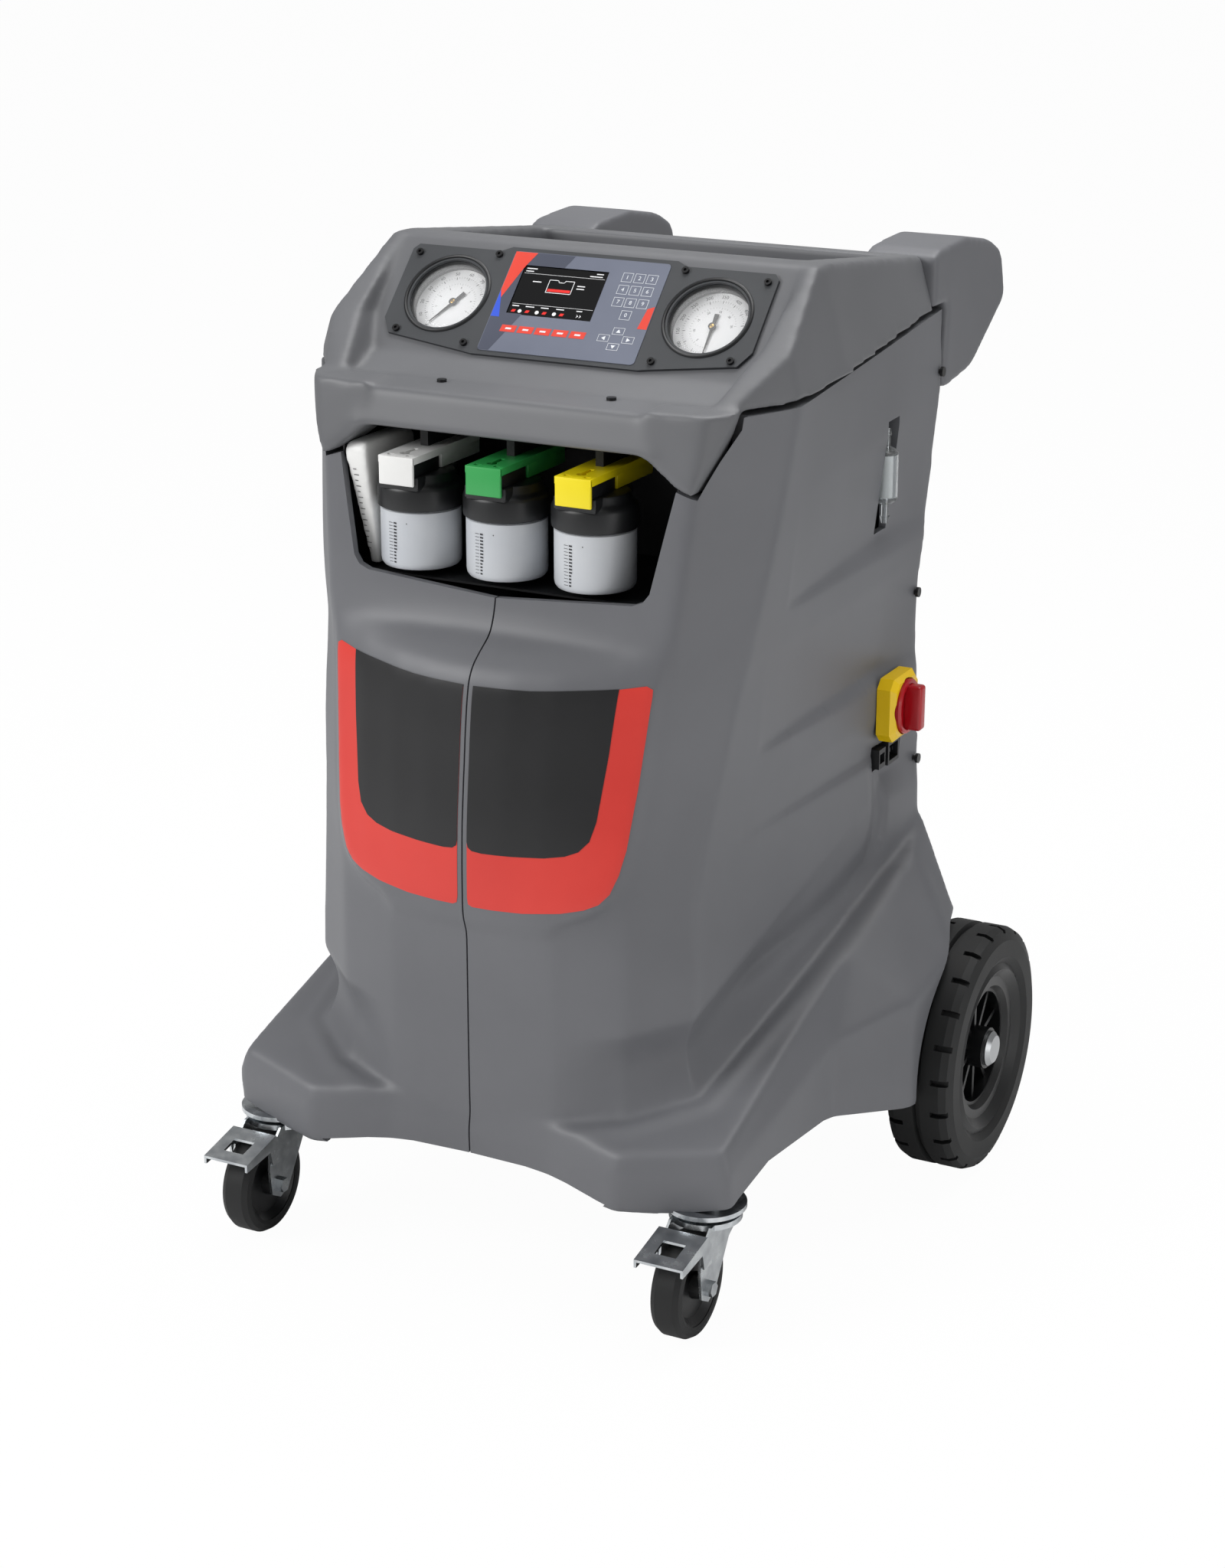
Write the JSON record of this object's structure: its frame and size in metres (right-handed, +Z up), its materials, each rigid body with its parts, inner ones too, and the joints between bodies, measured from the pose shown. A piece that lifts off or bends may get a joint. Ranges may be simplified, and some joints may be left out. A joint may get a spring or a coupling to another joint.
{
  "type": "air conditioning recharge station",
  "caption": "Wheeled vehicle air conditioning service station with a sloping console, dial gauges, oil bottle bay, mains switch, push handles, braked castors and rear wheels.",
  "frame": {"origin": "on the floor under the middle of the footprint", "axes": "-Y is the front with the console, +X is to the right of a person who faces it, +Z is up"},
  "size_m": [0.704, 0.8061, 0.936],
  "materials": {
    "body_plastic": "fine moulded grain",
    "panel_steel": "powder coated",
    "chassis_steel": "powder coated",
    "axle_steel": "turned",
    "black_plastic": "moulded",
    "fascia_plastic": "fine texture",
    "keypad_film": "satin printed film",
    "display_glass": "gloss",
    "dial_white": "printed",
    "clear_lens": "clear",
    "needle_black": "satin",
    "screw_steel": "blackened",
    "decal_film": "printed film",
    "switch_yellow": "moulded",
    "switch_red": "moulded",
    "filter_white": "sintered",
    "zinc_steel": "bright zinc plated",
    "tyre_rubber": "moulded rubber",
    "jar_plastic": "translucent polyethylene",
    "latch_white": "moulded",
    "latch_green": "moulded",
    "latch_yellow": "moulded",
    "tank_steel": "painted",
    "scale_alloy": "machined",
    "pump_iron": "painted casting",
    "compressor_steel": "painted",
    "brass": "turned",
    "board_plastic": "circuit board"
  },
  "bodies": {
    "root": {"left_shell": "body_plastic", "right_shell": "body_plastic", "hood": "body_plastic", "rear_panel": "panel_steel", "chassis": "chassis_steel", "rear_axle": "axle_steel", "bay_liner": "black_plastic", "bottle_dock": "black_plastic", "fascia_plate": "fascia_plastic", "keypad": "keypad_film", "display_module": "display_glass", "gauge_cases": "black_plastic", "gauge_dials": "dial_white", "gauge_lenses": "clear_lens", "screws": "screw_steel", "left_handle": "body_plastic", "right_handle": "body_plastic", "left_decal": "decal_film", "right_decal": "decal_film", "switch_plate": "switch_yellow", "mains_inlet": "black_plastic", "filter_housing": "clear_lens", "filter_element": "filter_white", "filter_clip": "black_plastic", "castor_bearings": "zinc_steel", "waste_bottle": "jar_plastic", "refrigerant_tank": "tank_steel", "tank_scale": "scale_alloy", "vacuum_pump": "pump_iron", "compressor": "compressor_steel", "manifold_block": "scale_alloy", "hose_ports": "brass", "filter_drier": "compressor_steel", "fan_frame": "black_plastic", "control_board": "board_plastic"},
    "low_needle_body": {"low_needle": "needle_black"},
    "high_needle_body": {"high_needle": "needle_black"},
    "switch_handle": {"switch_knob": "switch_red"},
    "fan": {"fan_rotor": "black_plastic"},
    "left_castor": {"left_castor_fork": "zinc_steel"},
    "right_castor": {"right_castor_fork": "zinc_steel"},
    "left_castor_wheel": {"left_castor_tyre": "tyre_rubber", "left_castor_hub": "black_plastic"},
    "right_castor_wheel": {"right_castor_tyre": "tyre_rubber", "right_castor_hub": "black_plastic"},
    "left_pedal": {"left_brake_pedal": "zinc_steel"},
    "right_pedal": {"right_brake_pedal": "zinc_steel"},
    "left_wheel": {"left_tyre": "tyre_rubber", "left_rim": "black_plastic"},
    "right_wheel": {"right_tyre": "tyre_rubber", "right_rim": "black_plastic"},
    "first_bottle": {"first_jar": "jar_plastic", "first_cap": "black_plastic", "first_latch": "latch_white"},
    "second_bottle": {"second_jar": "jar_plastic", "second_cap": "black_plastic", "second_latch": "latch_green"},
    "third_bottle": {"third_jar": "jar_plastic", "third_cap": "black_plastic", "third_latch": "latch_yellow"}
  },
  "joints": [
    {"name": "low_needle_turn", "type": "hinge", "parent": "root", "child": "low_needle_body", "pos_m": [-0.1349, -0.11899, 0.89078], "axis": [0, 0.7108, -0.7034], "range_deg": [0, 260]},
    {"name": "high_needle_turn", "type": "hinge", "parent": "root", "child": "high_needle_body", "pos_m": [0.1349, -0.11899, 0.89078], "axis": [0, 0.7108, -0.7034], "range_deg": [0, 260]},
    {"name": "switch_turn", "type": "hinge", "parent": "root", "child": "switch_handle", "pos_m": [0.226, 0.118, 0.474], "axis": [1, 0, 0], "range_deg": [0, 90]},
    {"name": "fan_spin", "type": "hinge", "parent": "root", "child": "fan", "pos_m": [0.095, 0.17, 0.232], "axis": [0, 1, 0], "continuous": true},
    {"name": "left_castor_swivel", "type": "hinge", "parent": "root", "child": "left_castor", "pos_m": [-0.231, -0.305, 0.105], "axis": [0, 0, 1], "continuous": true},
    {"name": "left_castor_roll", "type": "hinge", "parent": "left_castor", "child": "left_castor_wheel", "pos_m": [-0.231, -0.343, 0.05], "axis": [1, 0, 0], "continuous": true},
    {"name": "left_pedal_press", "type": "hinge", "parent": "left_castor", "child": "left_pedal", "pos_m": [-0.231, -0.35, 0.084], "axis": [1, 0, 0], "range_deg": [0, 8]},
    {"name": "left_wheel_roll", "type": "hinge", "parent": "root", "child": "left_wheel", "pos_m": [-0.316, 0.118, 0.125], "axis": [1, 0, 0], "continuous": true},
    {"name": "right_castor_swivel", "type": "hinge", "parent": "root", "child": "right_castor", "pos_m": [0.231, -0.305, 0.105], "axis": [0, 0, 1], "continuous": true},
    {"name": "right_castor_roll", "type": "hinge", "parent": "right_castor", "child": "right_castor_wheel", "pos_m": [0.231, -0.343, 0.05], "axis": [1, 0, 0], "continuous": true},
    {"name": "right_pedal_press", "type": "hinge", "parent": "right_castor", "child": "right_pedal", "pos_m": [0.231, -0.35, 0.084], "axis": [1, 0, 0], "range_deg": [0, 8]},
    {"name": "right_wheel_roll", "type": "hinge", "parent": "root", "child": "right_wheel", "pos_m": [0.316, 0.118, 0.125], "axis": [1, 0, 0], "continuous": true},
    {"name": "first_bottle_slide", "type": "slide", "parent": "root", "child": "first_bottle", "axis": [0, -1, 0], "range_m": [0, 0.07]},
    {"name": "second_bottle_slide", "type": "slide", "parent": "root", "child": "second_bottle", "axis": [0, -1, 0], "range_m": [0, 0.07]},
    {"name": "third_bottle_slide", "type": "slide", "parent": "root", "child": "third_bottle", "axis": [0, -1, 0], "range_m": [0, 0.07]}
  ]
}
